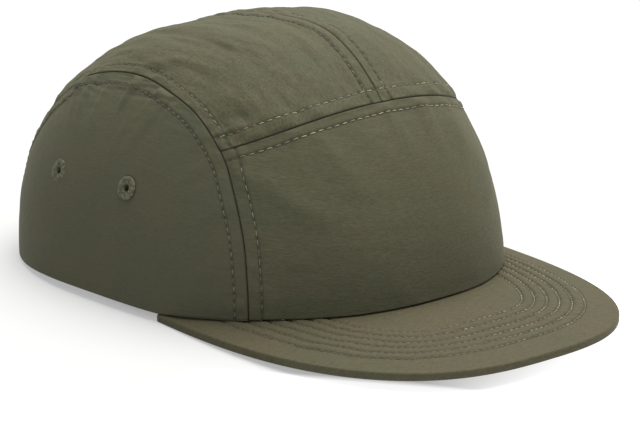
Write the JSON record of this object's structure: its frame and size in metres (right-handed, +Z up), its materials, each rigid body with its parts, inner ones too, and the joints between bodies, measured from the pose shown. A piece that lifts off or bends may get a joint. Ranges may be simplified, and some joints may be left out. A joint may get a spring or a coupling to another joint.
{
  "type": "five panel cap",
  "caption": "Soft olive cloth cap: a domed crown sewn from panels, a flat stitched peak, embroidered side eyelets and a rear opening with an adjusting strap.",
  "frame": {"origin": "on the surface that the cap rests on, under the middle of its bounding box", "axes": "+Z up, the peak points along -Y, and +X is the wearer's left"},
  "size_m": [0.168, 0.254, 0.0998],
  "materials": {
    "panel_cloth": "matt crinkled nylon",
    "peak_cloth": "matt crinkled nylon over a board",
    "thread": "satin sewing thread",
    "webbing": "flat woven webbing",
    "buckle_plastic": "fine satin"
  },
  "bodies": {
    "root": {"front_panel": "panel_cloth", "side_panel_right": "panel_cloth", "side_panel_left": "panel_cloth", "top_panel_right": "panel_cloth", "top_panel_left": "panel_cloth", "peak": "peak_cloth", "eyelet_right_front": "thread", "eyelet_right_rear": "thread", "eyelet_left_front": "thread", "eyelet_left_rear": "thread", "back_strap": "webbing", "strap_buckle": "buckle_plastic"}
  },
  "joints": []
}
